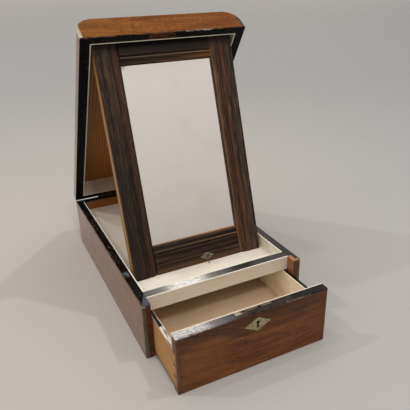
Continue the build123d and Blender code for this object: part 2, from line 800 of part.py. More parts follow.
for rail_name, outer_y, inward, width in RAILS:
    with BuildPart() as mirror_rail:
        with BuildSketch(side_view(MIRROR, -mirror_sight)):
            frame_section(outer_y, inward, width, mirror_face - rail_drop)
        extrude(amount=mirror_sight * 2)
        with BuildSketch(side_view(MIRROR, -rebate_side)):
            frame_section(outer_y, inward, width, mirror_face - rail_drop)
            behind_glass_lip()
        extrude(amount=rebate_side * 2)
        with BuildSketch(side_view(MIRROR, -rebate_side - tenon_length)):
            rect(*tenon_bounds(outer_y, inward, width))
        extrude(amount=(rebate_side + tenon_length) * 2)
        split(bisect_by=Plane.XY.offset(foot_z), keep=Keep.TOP)
    keep(mirror_rail, f"mirror_{rail_name}_rail")

glass_side = rebate_side - glass_margin
glass_top = pivot_from_top - top_rail_width + glass_rebate - glass_margin
glass_foot = foot_y + bottom_rail_width - glass_rebate + glass_margin

with BuildPart() as mirror_glass:
    with BuildSketch(MIRROR.offset(glass_face)):
        rect(-glass_side, glass_side, glass_foot, glass_top)
    extrude(amount=-glass_thickness)
keep(mirror_glass, "mirror_glass")

with BuildPart() as mirror_backboard:
    with BuildSketch(MIRROR.offset(glass_face - glass_thickness)):
        rect(-glass_side, glass_side, glass_foot, glass_top)
    extrude(amount=-backboard_thickness)
    behind = mirror_backboard.faces().sort_by(Axis(MIRROR.origin, MIRROR.z_dir))[0]
    chamfer(behind.edges(), length=backboard_bevel)
keep(mirror_backboard, "mirror_backboard")

plate_y = foot_y + plate_from_foot
rail_face = mirror_face - rail_drop
with BuildPart() as mirror_plate:
    with BuildSketch(MIRROR.offset(rail_face)):
        lozenge(plate_offset, plate_y, plate_length, plate_height)
    extrude(amount=plate_thickness)
    for hand in (-1, 1):
        bore(MIRROR.offset(rail_face), plate_pin_radius, plate_thickness,
             plate_offset + hand * plate_pin_spacing / 2, plate_y)
keep(mirror_plate, "mirror_plate")

with BuildPart() as mirror_plate_pins:
    with BuildSketch(MIRROR.offset(rail_face)):
        for hand in (-1, 1):
            with Locations((plate_offset + hand * plate_pin_spacing / 2, plate_y)):
                Circle(plate_pin_radius)
    extrude(amount=plate_thickness + plate_pin_radius / 2)
keep(mirror_plate_pins, "mirror_plate_pins")
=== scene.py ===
"""Finishes, light and camera for the antique fitted dressing box.

Metres, +Z up, the front towards -Y. The CAD pieces keep their shapes and only get finishes.
"""

import json
from math import pi, radians

import bpy
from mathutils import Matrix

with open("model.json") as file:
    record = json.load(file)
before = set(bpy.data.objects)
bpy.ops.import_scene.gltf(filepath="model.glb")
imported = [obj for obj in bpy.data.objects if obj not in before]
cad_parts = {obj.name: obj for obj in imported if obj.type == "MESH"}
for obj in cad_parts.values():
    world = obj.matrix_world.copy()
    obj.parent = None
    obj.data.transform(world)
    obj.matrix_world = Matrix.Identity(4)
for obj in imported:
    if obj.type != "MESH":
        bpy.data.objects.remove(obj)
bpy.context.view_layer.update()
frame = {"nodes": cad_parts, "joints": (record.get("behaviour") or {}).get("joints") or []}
nodes = frame["nodes"]
bpy.ops.object.select_all(action="DESELECT")

# ---------------------------------------------------------------- case boards
# Two long sides and the back, of softwood veneered with rosewood on every outer face.
# The veneer's grain runs level round the case. It is French polished, so the sides mirror
# the pale room at a low angle. Inside, the bare ground wood is left a plain orange brown.


def tint(red, green, blue):
    """A colour as a painter's chart gives it, 0 to 255, made linear."""
    channels = [c / 255 for c in (red, green, blue)]
    return (*[c / 12.92 if c < 0.04045 else ((c + 0.055) / 1.055) ** 2.4 for c in channels], 1)


class Tone:
    """A shader socket that can be reckoned with: an operator adds its Math nodes."""

    def __init__(self, tree, socket):
        self.tree = tree
        self.socket = socket

    def node(self, kind, inputs, output=0, stops=(), **settings):
        """Adds a node: its settings first, then a value or a link for each socket named."""
        made = self.tree.nodes.new(kind)
        for name, value in settings.items():
            setattr(made, name, value)
        for _ in stops[2:]:
            made.color_ramp.elements.new(0.5)
        for element, (place, colour) in zip(made.color_ramp.elements if stops else (), stops):
            element.position = place
            element.color = colour
        for name, value in dict(inputs).items():
            if isinstance(value, Tone):
                self.tree.links.new(value.socket, made.inputs[name])
            else:
                made.inputs[name].default_value = value
        return Tone(self.tree, made.outputs[output]) if made.outputs else None

    def maths(self, operation, *others):
        return self.node("ShaderNodeMath", enumerate((self, *others)), operation=operation)

    def __add__(self, other):
        return self.maths("ADD", other)

    def __sub__(self, other):
        return self.maths("SUBTRACT", other)

    def __neg__(self):
        return self.maths("MULTIPLY", -1)

    def __rsub__(self, other):
        return -self + other

    def __mul__(self, other):
        return self.maths("MULTIPLY", other)

    def __truediv__(self, other):
        return self.maths("DIVIDE", other)

    def __lt__(self, other):
        return self.maths("LESS_THAN", other)

    def __gt__(self, other):
        return self.maths("GREATER_THAN", other)

    def __abs__(self):
        return self.maths("ABSOLUTE")

    __radd__ = __add__
    __rmul__ = __mul__


def rise(tone, low, high):
    """0 below low, 1 above high, smooth between."""
    return tone.node("ShaderNodeMapRange", {0: tone, 1: low, 2: high, 3: 0.0, 4: 1.0},
                     interpolation_type="SMOOTHSTEP")


def band(tone, middle, half, soft):
    """1 within half of the middle, 0 past half and soft."""
    return rise(abs(tone - middle), half + soft, half)


def blend(under, over, share):
    """One colour laid over another by a share."""
    return share.node("ShaderNodeMix", {0: share, 6: under, 7: over}, output=2, data_type="RGBA")


def ramp(tone, *stops):
    """A colour read off a chart of (place, colour) stops."""
    return tone.node("ShaderNodeValToRGB", {0: tone}, stops=stops)


def noise(along, across, depth, length, width, detail=2.0):
    """Cloudy noise from 0 to 1, drawn out along the grain."""
    spot = along.node("ShaderNodeCombineXYZ",
                      {0: along / length, 1: across / width, 2: depth / width})
    return along.node("ShaderNodeTexNoise", {"Vector": spot, "Scale": 1.0, "Detail": detail})


def new_finish(name, origin=(0, 0, 0), tilt=0.0):
    """A bare material, and x, y, z on its piece, from an origin and squared up to a tilt."""
    material = bpy.data.materials.new(name)
    material.use_nodes = True
    tree = material.node_tree
    tree.nodes.clear()
    place = Tone(tree, tree.nodes.new("ShaderNodeTexCoord").outputs["Object"])
    squared = place.node("ShaderNodeMapping",
                         {"Vector": place, "Location": origin, "Rotation": (tilt, 0, 0)},
                         vector_type="TEXTURE")
    return material, *[squared.node("ShaderNodeSeparateXYZ", {0: squared}, output=axis)
                       for axis in range(3)]


def worn_edge(tone, radius):
    """1 along the piece's sharp edges and 0 on its flats, from how far its normals round off."""
    rounded = tone.node("ShaderNodeBevel", {"Radius": radius}, samples=6)
    true = tone.node("ShaderNodeNewGeometry", {}, output=1)
    turn = tone.node("ShaderNodeVectorMath", {0: rounded, 1: true}, output=1,
                     operation="DOT_PRODUCT")
    return rise(1 - turn, 0.002, 0.09)


def polish(material, colour, roughness, height, *, relief=0.0001, round_over=0.0004, metallic=0.0,
           coat=0.0, coat_roughness=0.1, shine=0.5):
    """Closes a material: its colour, its sheen, its relief and a softened arris."""
    rounded = colour.node("ShaderNodeBevel", {"Radius": round_over}, samples=6)
    bumped = colour.node("ShaderNodeBump",
                         {"Height": height, "Distance": relief, "Normal": rounded})
    shader = colour.node("ShaderNodeBsdfPrincipled", {
        "Base Color": colour, "Roughness": roughness, "Metallic": metallic, "Normal": bumped,
        "Coat Weight": coat, "Coat Roughness": coat_roughness, "Specular IOR Level": shine})
    colour.node("ShaderNodeOutputMaterial", {"Surface": shader})


def dress(material, *names):
    """Gives CAD pieces a finish."""
    for name in names:
        nodes[name].data.materials.clear()
        nodes[name].data.materials.append(material)


def rosewood(along, across, depth, dark, middle, light, streaked=0.5):
    """Rosewood figure: clouds, fine streaks that wander, short flecks and open pores.

    Returns its colour, and its pores from 0 to 1.
    """
    drift = noise(along, across, depth, 0.08, 0.02)
    cloud = noise(along, across + drift * 0.01, depth, 0.05, 0.006, 3.0)
    streaks = rise(noise(along, across + drift * 0.008, depth, 0.022, 0.0009), 0.5, 0.66)
    flecks = noise(along, across, depth, 0.005, 0.0007, 1.0)
    pores = rise(noise(along, across, depth, 0.004, 0.00045), 0.58, 0.7)
    colour = ramp(cloud * 0.5 + flecks * 0.5, (0.37, dark), (0.5, middle), (0.63, light))
    colour = blend(colour, tint(46, 24, 12), streaks * streaked)
    return blend(colour, tint(32, 16, 8), pores * 0.55), pores


def ground_wood(along, across, depth, dark, middle, light, lined=0.35):
    """Plain softwood with straight growth lines, faint or strong: its colour and its fibre."""
    drift = noise(along, across, depth, 0.16, 0.05)
    lines = ((across + depth * 0.7) * (2 * pi / 0.0042) + drift * 12).maths("SINE") * 0.5 + 0.5
    fibre = noise(along, across, depth, 0.018, 0.0005)
    cloud = noise(along, across, depth, 0.07, 0.04)
    return ramp(lines * lined + fibre * 0.35 + cloud * (0.75 - lined) - 0.05,
                (0.2, dark), (0.55, middle), (0.85, light)), fibre


case_right = 0.1
case_front = -0.1525
case_back = 0.1525
skin = 0.0002

side_finish, x, y, z = new_finish("case_side_veneer")
veneer, pores = rosewood(y, z, x, tint(98, 54, 30), tint(126, 77, 45), tint(148, 97, 62), 0.25)
end_veneer, _ = rosewood(x, z, y, tint(52, 22, 7), tint(84, 38, 14), tint(114, 60, 24))
bare, _ = ground_wood(y, z, x, tint(118, 66, 26), tint(158, 96, 44), tint(184, 122, 64), 0.2)
wear_and_glare = rise(noise(z, y, x, 0.014, 0.0016), 0.46, 0.6) * rise(y, -0.132, -0.15)
bare = blend(bare, tint(94, 50, 14), rise(y, -0.128, -0.142) * 0.4)
bare = blend(bare, tint(216, 178, 130), wear_and_glare * 0.45)
at_front = y < case_front + skin
outside = abs(x) > case_right - skin
outside = outside.maths("MAXIMUM", y > case_back - skin)
colour = blend(blend(bare, veneer, outside), end_veneer, at_front)
# Polish bloom with a painted sheen: the outer faces are greyed toward the back, where they mirror
# the pale room, and painted warmer toward the front.
bloom_and_sheen = rise(noise(y, z, x, 0.05, 0.03, 4.0), 0.4, 0.75) * rise(y, -0.12, 0.06)
colour = blend(colour, tint(140, 116, 100), bloom_and_sheen * outside * 0.3)
colour = blend(colour, tint(122, 70, 34), rise(y, -0.05, -0.15) * outside * 0.3)
# Painted contact shade: darker along the foot, where the side meets the floor.
foot_shade = rise(z, 0.004, 0.0)
colour = blend(colour, tint(52, 32, 22), foot_shade * 0.6)
scuffs = rise(noise(y, z, x, 0.02, 0.004, 4.0), 0.57, 0.68)
colour = blend(colour, tint(150, 112, 84), worn_edge(colour, 0.001) * scuffs * 0.6)
polish(side_finish, colour, 0.34 + pores * 0.1 + bloom_and_sheen * 0.12, -pores, relief=0.00005,
       coat=outside * (0.6 - rise(y, -0.05, -0.16) * 0.1), coat_roughness=0.2, shine=0.4)
dress(side_finish, "case_left_side", "case_right_side")

back_finish, x, y, z = new_finish("case_back_veneer")
veneer, pores = rosewood(x, z, y, tint(76, 42, 24), tint(108, 66, 42), tint(132, 88, 60), 0.4)
bare, _ = ground_wood(x, z, y, tint(108, 58, 10), tint(154, 90, 20), tint(180, 114, 34), 0.2)
outside = y > case_back - skin
colour = blend(bare, veneer, outside)
scuffs = rise(noise(x, z, y, 0.02, 0.004, 4.0), 0.57, 0.68)
colour = blend(colour, tint(150, 112, 84), worn_edge(colour, 0.001) * scuffs * 0.6)
polish(back_finish, colour, 0.36 + pores * 0.14, -pores, relief=0.00006, coat=0.35,
       coat_roughness=0.2)
dress(back_finish, "case_back")

# ---------------------------------------------------------------- bottom board and front rail
# Softwood boards that are never seen in use, sawn and left bare: the case's bottom, let
# into grooves, and the core of the rail between the two sides.
under_finish, x, y, z = new_finish("bare_underside")
bare, fibre = ground_wood(y, x, z, tint(116, 84, 50), tint(150, 114, 72), tint(170, 136, 92))
dust = rise(noise(x, y, z, 0.03, 0.03, 4.0), 0.5, 0.72)
colour = blend(bare, tint(96, 78, 58), dust * 0.5)
polish(under_finish, colour, 0.72 + dust * 0.1, fibre, relief=0.0002, shine=0.3)
dress(under_finish, "case_bottom", "front_rail")

# ---------------------------------------------------------------- tray floor and tray linings
# Pale maple: a thin board let into grooves as the tray's floor, and thin slips that line
# the walls and stand level with the rim, where their top edges carry a painted highlight and read
# as a white line.
rim_height = 0.07
case_inner = 0.0905
back_inner = 0.143


def maple(along, across, depth, dark, middle, light):
    """Pale close-grained wood, a little stained by handling: its colour and its fibre."""
    drift = noise(along, across, depth, 0.12, 0.04)
    lines = ((across + depth * 0.5) * (2 * pi / 0.005) + drift * 18).maths("SINE") * 0.5 + 0.5
    fibre = noise(along, across, depth, 0.014, 0.0006)
    cloud = noise(along, across, depth, 0.05, 0.02, 4.0)
    colour = ramp(lines * 0.07 + fibre * 0.46 + cloud * 0.47,
                  (0.3, dark), (0.5, middle), (0.7, light))
    stain = rise(noise(along, across, depth, 0.02, 0.012, 4.0), 0.6, 0.8)
    return blend(colour, dark, stain * 0.3), fibre


def slip_top_highlight(z):
    """1 on the top edge of a slip that stands level with the rim, where a highlight is painted; 0
    below it.
    """
    return rise(z, rim_height - 0.0008, rim_height - 0.0003)


def finish_slip(material, colour, fibre, roughness, shine):
    """Closes the finish of a thin maple slip, whose arrises are crisp."""
    polish(material, colour, fibre * 0.1 + roughness, fibre, relief=0.00006, round_over=0.0002,
           shine=shine)


white_maple = tint(222, 209, 188), tint(240, 231, 215), tint(248, 242, 230)
tan_maple = tint(208, 178, 143), tint(230, 204, 172), tint(240, 219, 190)

floor_finish, x, y, z = new_finish("tray_floor_maple")
colour, fibre = maple(x, y, z, *white_maple)
# Darker along the side walls and the back wall.
darkening = rise(abs(x), case_inner - 0.0105, case_inner - 0.001) * 0.15
darkening = darkening + rise(y, back_inner - 0.009, back_inner) * 0.2
colour = blend(colour, tint(178, 156, 124), darkening)
# Painted light: the floor is paler toward the back, where the lid shades it.
colour = blend(colour, tint(255, 245, 228), rise(y, -0.1, 0.02) * 0.45)
polish(floor_finish, colour, 0.5 + fibre * 0.1, fibre, relief=0.00006, shine=0.3)
dress(floor_finish, "tray_floor")

lining_finish, x, y, z = new_finish("tray_lining_maple")
colour, fibre = maple(y, z, x, *white_maple)
# A painted highlight on the slip's top edge.
colour = blend(colour, tint(250, 244, 232), slip_top_highlight(z))
finish_slip(lining_finish, colour, fibre, roughness=0.48, shine=0.4)
dress(lining_finish, "tray_lining_left", "tray_lining_right")

facing_finish, x, y, z = new_finish("rail_facing_maple")
colour, fibre = maple(x, z, y, tint(208, 193, 170), tint(228, 214, 195), tint(236, 226, 210))
# A painted highlight on the slip's top edge.
colour = blend(colour, tint(250, 244, 232), slip_top_highlight(z))
finish_slip(facing_finish, colour, fibre, roughness=0.48, shine=0.4)
dress(facing_finish, "rail_facing", "tray_lining_front")

# ---------------------------------------------------------------- ebonised rims and rail cap
# Thin bandings of wood stained black and polished, glued on the case's rim and mitred at
# the back. A century of handling has pitted the polish and chipped the outer arris.


def ebony(along, across, depth):
    """Black polish with a few pits and scratches: its colour, its roughness and its relief."""
    haze = rise(noise(along, across, depth, 0.03, 0.008, 3.0), 0.45, 0.75)
    pits = rise(noise(along, across, depth, 0.0026, 0.0016, 1.0), 0.7, 0.76)
    pits = pits * rise(noise(along, across, depth, 0.02, 0.006), 0.45, 0.6)
    scratches = rise(noise(along, across, depth, 0.012, 0.0004, 1.0), 0.64, 0.74)
    colour = blend(tint(6, 6, 6), tint(19, 17, 16), haze)
    colour = blend(colour, tint(84, 76, 68), scratches * 0.16)
    colour = blend(colour, tint(150, 142, 134), pits * 0.75)
    roughness = haze * 0.14 + scratches * 0.16 + pits * 0.2 + 0.2
    return colour, roughness, -pits - scratches * 0.3


grey_corner_start = -0.131
grey_corner_slope = 0.43

rim_finish, x, y, z = new_finish("case_rim_ebonised")
colour, roughness, relief = ebony(y, x, z)
ragged = rise(abs(x) + noise(y, x, z, 0.007, 0.003, 4.0) * 0.0032, case_right + 0.0006,
              case_right + 0.0013)
chips = ragged * rise(noise(y, x, z, 0.03, 0.01, 3.0), 0.36, 0.5)
colour = blend(colour, tint(104, 84, 70), chips * 0.85)
# Painted glints: pale specks along the left rim's outer edge.
specks = rise(noise(y, x, z, 0.0026, 0.002, 1.0), 0.66, 0.69) * band(y, 0.01, 0.055, 0.02)
colour = blend(colour, tint(168, 166, 162), specks * rise(x, -0.0935, -0.0955) * 0.8)
smear = band(y, -0.086, 0.003, 0.005) * rise(noise(y, x, z, 0.006, 0.003, 3.0), 0.4, 0.6)
smear = smear * rise(x, -0.088, -0.093)
colour = blend(colour, tint(112, 118, 124), smear * 0.7)
front_end = rise(y, -0.129, -0.133)
sheen = rise(y, -0.02, -0.15)
right_sheen = rise(x, -0.05, 0.05) * rise(y, 0.02, -0.07)
colour = blend(colour, tint(86, 81, 74), right_sheen * (0.4 - sheen * 0.25))
into_the_corner = x + case_inner - (y - grey_corner_start) * grey_corner_slope
corner = rise(into_the_corner, -0.0008, 0.0008) * front_end
left_corner = corner * rise(x, 0.0, -0.05)
colour = blend(colour, tint(94, 96, 102), left_corner * (0.5 + noise(y, x, z, 0.004, 0.004) * 0.4))
bare_corner = rise(x, 0.0955, 0.0947) * rise(x, 0.08, 0.09) * rise(y, -0.1398, -0.1404)
colour = blend(colour, tint(176, 118, 72), bare_corner)
right_tip = rise(y, -0.1486, -0.1506) * rise(x, 0.094, 0.0972)
right_tip = right_tip * rise(noise(y, x, z, 0.004, 0.003), 0.4, 0.55)
colour = blend(colour, tint(176, 170, 160), right_tip * 0.8)
polish(rim_finish, colour, roughness + chips * 0.3 + sheen * 0.1, relief - chips, relief=0.00012,
       shine=0.35)
dress(rim_finish, "case_rim_left", "case_rim_right")

cross_rim_finish, x, y, z = new_finish("rail_cap_ebonised")
colour, roughness, relief = ebony(x, y, z)
on_rail = rise(y, 0.0, -0.05)
# Painted sheen and glare on the rail's left: a grey sheen and a pale speckled glare.
sheen = band(x, -0.044, 0.012, 0.07) * on_rail
speckle = rise(noise(x, y, z, 0.003, 0.0012, 3.0), 0.36, 0.56)
colour = blend(colour, tint(152, 147, 140), sheen * 0.8)
colour = blend(colour, tint(88, 80, 72), rise(x, 0.0, 0.05) * on_rail * 0.3)
wear_and_glare = band(x, -0.04, 0.01, 0.022) * on_rail
colour = blend(colour, tint(255, 251, 246), wear_and_glare * (speckle * 0.55 + 0.45))
specks = rise(noise(x, y, z, 0.0016, 0.0012, 1.0), 0.6, 0.66) * band(x, -0.012, 0.012, 0.01)
colour = blend(colour, tint(40, 38, 38), specks * on_rail * 0.8)
polish(cross_rim_finish, colour, roughness + wear_and_glare * 0.2, relief, relief=0.00012)
dress(cross_rim_finish, "case_rim_back", "rail_cap")

# ---------------------------------------------------------------- corner strings
# Square strips of pale wood let into the front corners of case and lid and capped by the
# bandings. Polish has browned them, the lid's left one least.


def string_wood(along, across, depth, fresh):
    """Pale string wood, darkened but for a share left fresh: its colour, roughness and fibre."""
    fibre = noise(along, across, depth, 0.03, 0.001)
    darkening = rise(noise(along, across, depth, 0.012, 0.004, 4.0), 0.42, 0.66)
    brown = ramp(fibre, (0.3, tint(64, 54, 34)), (0.6, tint(94, 86, 58)),
                 (0.8, tint(116, 108, 76)))
    pale = ramp(fibre, (0.3, tint(178, 164, 126)), (0.6, tint(212, 202, 170)),
                (0.8, tint(226, 218, 190)))
    colour = blend(brown, pale, fresh)
    return blend(colour, tint(60, 42, 26), darkening * 0.35), 0.36 + darkening * 0.15, fibre


string_finish, x, y, z = new_finish("case_string")
tip = rise(z, rim_height - 0.0035, rim_height - 0.0018)
colour, roughness, fibre = string_wood(z, x, y, tip)
colour = blend(colour, tint(70, 38, 22), rise(x, 0.0, 0.05) * 0.75)
polish(string_finish, colour, roughness, fibre, relief=0.00005, coat=0.35, coat_roughness=0.2)
dress(string_finish, "case_corner_strings")

# ---------------------------------------------------------------- hinges and their screws
# A pair of cast brass butts, let into both back rims with their knuckles half sunk in the back
# edges, darkened nearly black by tarnish and by painted shade. Pins, screws and the tray's stop
# nail are of browned iron.


def old_brass(x, y, z, dark, light):
    """Dull brass with darker tarnish: its colour and its tarnish."""
    tarnish = rise(noise(x, y, z, 0.006, 0.006, 5.0), 0.4, 0.66)
    brushing = rise(noise(x, y, z, 0.01, 0.0003, 1.0), 0.55, 0.75)
    colour = blend(light, dark, tarnish * 0.8)
    return blend(colour, light, brushing * 0.3), tarnish


brass_finish, x, y, z = new_finish("hinge_brass")
# Darkened nearly black: tarnish, and painted shade.
colour, tarnish = old_brass(x, y, z, tint(38, 32, 22), tint(88, 78, 50))
polish(brass_finish, colour, 0.42 + tarnish * 0.22, tarnish, relief=0.00004, metallic=0.7,
       shine=0.3)
dress(brass_finish, "case_hinge_leaves", "lid_hinge_leaves")

iron_finish, x, y, z = new_finish("old_iron")
rust = rise(noise(x, y, z, 0.0012, 0.0012, 4.0), 0.42, 0.62)
colour = blend(tint(112, 106, 100), tint(88, 58, 40), rust * 0.7)
polish(iron_finish, colour, 0.4 + rust * 0.35, rust, relief=0.00005, round_over=0.0001,
       metallic=0.75)
dress(iron_finish, "case_hinge_screws", "lid_hinge_screws", "hinge_pins", "mirror_pivot_pins",
      "tray_stop_nail")

# ---------------------------------------------------------------- drawer front
# One board behind rosewood veneer laid level, with a narrow upright slip at each end.
# Dark figure arches near the top, and a nail hole shows low at the left.
drawer_pull = 0.064
drawer_shut = (0, -drawer_pull, 0)
drawer_right = 0.0895
veneer_depth = 0.0015
slip_width = 0.0036
keyhole_x = 0.0018
escutcheon_z = 0.0546

front_finish, x, y, z = new_finish("drawer_front_veneer", origin=drawer_shut)
arch = z - (x - 0.02) * (x - 0.02) * 0.9
veneer, pores = rosewood(x, arch, y, tint(88, 46, 15), tint(118, 66, 24), tint(146, 90, 38), 0.4)
slip, _ = rosewood(z, x, y, tint(70, 38, 18), tint(98, 58, 30), tint(120, 76, 44))
bare, _ = ground_wood(x, z, y, tint(132, 78, 36), tint(172, 108, 56), tint(196, 134, 78))
red = rise(x, 0.0, 0.09)
colour = blend(veneer, tint(98, 48, 24), red * 0.35)
figure = noise(x, arch, y, 0.05, 0.006, 3.0)
dark_top = rise(z + figure * 0.03, 0.056, 0.079) * (rise(x, 0.085, 0.05) * 0.24 + 0.36)
left_cloud = band(x, -0.022, 0.012, 0.02) * band(z, 0.05, 0.004, 0.01)
right_cloud = band(x, 0.038, 0.02, 0.02) * band(z, 0.053, 0.004, 0.009)
clouds = (left_cloud + right_cloud) * rise(figure, 0.32, 0.62)
colour = blend(colour, tint(44, 23, 14), dark_top.maths("MAXIMUM", clouds * 0.6))
on_slip = rise(abs(x), drawer_right - slip_width - 0.0001, drawer_right - slip_width)
light_left = band(x, -0.058, 0.016, 0.02) * band(z, 0.03, 0.01, 0.02)
colour = blend(colour, tint(138, 86, 34), light_left * 0.35)
joint = band(abs(x), drawer_right - slip_width, 0.0001, 0.0003)
colour = blend(colour, slip, on_slip)
colour = blend(colour, tint(36, 20, 12), joint * 0.45)
low_left = rise(z - x * 0.2, 0.03, 0.018) * rise(x, -0.06, -0.088)
colour = blend(colour, tint(60, 36, 22), low_left * 0.4)
scuffs = rise(noise(x, z, y, 0.02, 0.004, 4.0), 0.57, 0.68)
colour = blend(colour, tint(140, 100, 72), worn_edge(colour, 0.001) * scuffs * 0.7)
bare = blend(bare, tint(70, 45, 26), (abs(x) > drawer_right - skin) * 0.7)
colour = blend(colour, bare, y > case_front + veneer_depth)
# Painted shade inside the keyhole.
keyhole_shade = band(x, keyhole_x, 0.0024, 0.0001) * band(z, escutcheon_z, 0.0046, 0.0001)
keyhole_shade = keyhole_shade * rise(y, case_front + 0.001, case_front + 0.0012)
colour = blend(colour, tint(16, 10, 7), keyhole_shade)
polish(front_finish, colour, 0.36 + pores * 0.16, -pores, relief=0.00008, shine=0.25)
dress(front_finish, "drawer_front")

# ---------------------------------------------------------------- drawer's ebonised edges
# A black cap over the front's top edge, with a painted sheen and glare on its left, where hands
# also rub it pale, and black edging along the tops of the sides, worn to the wood behind the
# front, with painted highlights there.
cap_finish, x, y, z = new_finish("drawer_cap_ebonised", origin=drawer_shut)
colour, roughness, relief = ebony(x, y, z)
# A painted sheen over the cap's left half, and a pale speckled painted glare at its left end,
# where hands also rub it pale.
sheen = rise(x, -0.005, -0.05)
colour = blend(colour, tint(140, 134, 134), sheen * 0.75)
speckle = rise(noise(x, y, z, 0.004, 0.0016, 4.0), 0.4, 0.58)
wear_and_glare = rise(x, -0.044, -0.062)
colour = blend(colour, tint(226, 222, 220), wear_and_glare * (speckle * 0.5 + 0.38))
browned = band(x, 0.012, 0.03, 0.008) * rise(noise(x, y, z, 0.006, 0.0012, 3.0), 0.4, 0.6)
colour = blend(colour, tint(78, 62, 52), browned * 0.6)
edge = rise(y + noise(x, y, z, 0.005, 0.002, 4.0) * 0.003, case_front + 0.002, case_front + 0.0014)
chips = edge * rise(noise(x, y, z, 0.02, 0.006), 0.42, 0.5)
colour = blend(colour, tint(86, 58, 42), chips * 0.8)
colour = blend(colour, tint(150, 130, 112), chips * band(x, 0.05, 0.014, 0.01) * 0.5)
polish(cap_finish, colour, roughness + wear_and_glare * speckle * 0.2 + chips * 0.3, relief - chips,
       relief=0.00015, shine=0.25)
dress(cap_finish, "drawer_front_cap")

edging_finish, x, y, z = new_finish("drawer_edging_ebonised", origin=drawer_shut)
colour, roughness, relief = ebony(y, x, z)
# Behind the front the edging is worn to pale wood and carries painted highlights in pale stripes.
worn_and_highlit = rise(y + noise(y, x, z, 0.004, 0.002) * 0.004, case_front + 0.05, case_front + 0.047)
outer = rise(abs(x), drawer_right - 0.0012, drawer_right - 0.0005)
pale_stripes = ramp(noise(y, x, z, 0.03, 0.0011, 1.0),
                 (0.38, tint(60, 50, 42)), (0.44, tint(236, 226, 208)),
                 (0.56, tint(238, 228, 210)), (0.62, tint(96, 82, 68)))
worn_and_highlit = worn_and_highlit.maths("MAXIMUM", outer * 0.5) * rise(x, 0.03, 0.0)
colour = blend(colour, pale_stripes, worn_and_highlit)
polish(edging_finish, colour, roughness + worn_and_highlit * 0.2, relief, relief=0.0001)
dress(edging_finish, "drawer_edging_left", "drawer_edging_right")

# ---------------------------------------------------------------- drawer sides and back
# Tan boards dovetailed together, lapped at the front and through at the back. They are bare
# outside, and browned by years of running in the case.
drawer_side_finish, x, y, z = new_finish("drawer_side_wood", origin=drawer_shut)
colour, fibre = ground_wood(y, z, x, tint(160, 112, 64), tint(198, 149, 92),
                            tint(214, 172, 118), 0.12)
run = rise(noise(y, z, x, 0.05, 0.01, 4.0), 0.5, 0.7)
colour = blend(colour, tint(190, 118, 48), run * 0.45)
colour = blend(colour, tint(104, 72, 42), rise(z, 0.012, 0.003) * 0.6)
polish(drawer_side_finish, colour, 0.55 + fibre * 0.1, fibre, relief=0.00008, shine=0.3)
dress(drawer_side_finish, "drawer_left_side", "drawer_right_side")

drawer_back_finish, x, y, z = new_finish("drawer_back_wood", origin=drawer_shut)
colour, fibre = ground_wood(x, z, y, tint(134, 90, 50), tint(168, 122, 76), tint(188, 146, 98))
polish(drawer_back_finish, colour, 0.6 + fibre * 0.1, fibre, relief=0.00008, shine=0.3)
dress(drawer_back_finish, "drawer_back")

# ---------------------------------------------------------------- drawer bottom and linings
# The bottom is slid into grooves from the back, its grain across, its rear half darkened by a
# painted shade.
# It and the side linings are of yellower maple than the tray; the front lining is as pale.
drawer_side_top = 0.0514

bottom_finish, x, y, z = new_finish("drawer_bottom_maple", origin=drawer_shut)
colour, fibre = maple(x, y, z, *tan_maple)
# Darker along the sides.
colour = blend(colour, tint(150, 116, 78), rise(abs(x), 0.074, 0.084) * 0.3)
# Painted shade: the rear half darker.
colour = blend(colour, tint(122, 82, 44), rise(y, -0.088, 0.0) * 0.55)
polish(bottom_finish, colour, 0.52 + fibre * 0.1, fibre, relief=0.00006, shine=0.3)
dress(bottom_finish, "drawer_bottom")

drawer_lining_finish, x, y, z = new_finish("drawer_lining_maple", origin=drawer_shut)
flame = z - (y + 0.1) * (y + 0.1) * 5.0
colour, fibre = maple(y, flame, x, tint(222, 196, 164), tint(250, 234, 208), tint(253, 242, 222))
left_edge = rise(z, drawer_side_top - 0.0012, drawer_side_top - 0.0008) * rise(x, 0.0, -0.04)
grimed = left_edge * rise(noise(y, x, z, 0.01, 0.001), 0.3, 0.5)
colour = blend(colour, tint(112, 90, 68), grimed * 0.85)
finish_slip(drawer_lining_finish, colour, fibre, roughness=0.5, shine=0.3)
dress(drawer_lining_finish, "drawer_lining_left", "drawer_lining_right")

front_lining_finish, x, y, z = new_finish("front_lining_maple", origin=drawer_shut)
colour, fibre = maple(x, z, y, *white_maple)
# A painted highlight on the slip's top edge.
colour = blend(colour, tint(240, 229, 210), slip_top_highlight(z))
finish_slip(front_lining_finish, colour, fibre, roughness=0.48, shine=0.4)
dress(front_lining_finish, "drawer_lining_front")

# ---------------------------------------------------------------- lock and escutcheon
# A brass box lock let into the drawer front from behind: its case, its selvedge plate with
# two slots, the hooked bolt, the post that guides the key, and the lozenge round the keyhole.


def lozenge(across, up, half_width, half_height):
    """0 in the middle of a lozenge, 1 along its edge and more outside it."""
    return abs(across) / half_width + abs(up) / half_height


lock_finish, x, y, z = new_finish("lock_brass")
colour, tarnish = old_brass(x, y, z, tint(96, 84, 54), tint(168, 154, 106))
# Painted shade where the keyhole runs through the lock case.
keyway_shade = band(x, keyhole_x, 0.004, 0.002) * band(z, escutcheon_z, 0.006, 0.002)
colour = blend(colour, tint(14, 11, 9), keyway_shade * 0.9)
polish(lock_finish, colour, 0.38 + tarnish * 0.2, tarnish, relief=0.00004, round_over=0.0002,
       metallic=0.85)
dress(lock_finish, "lock_case", "lock_key_post", "lock_bolt")

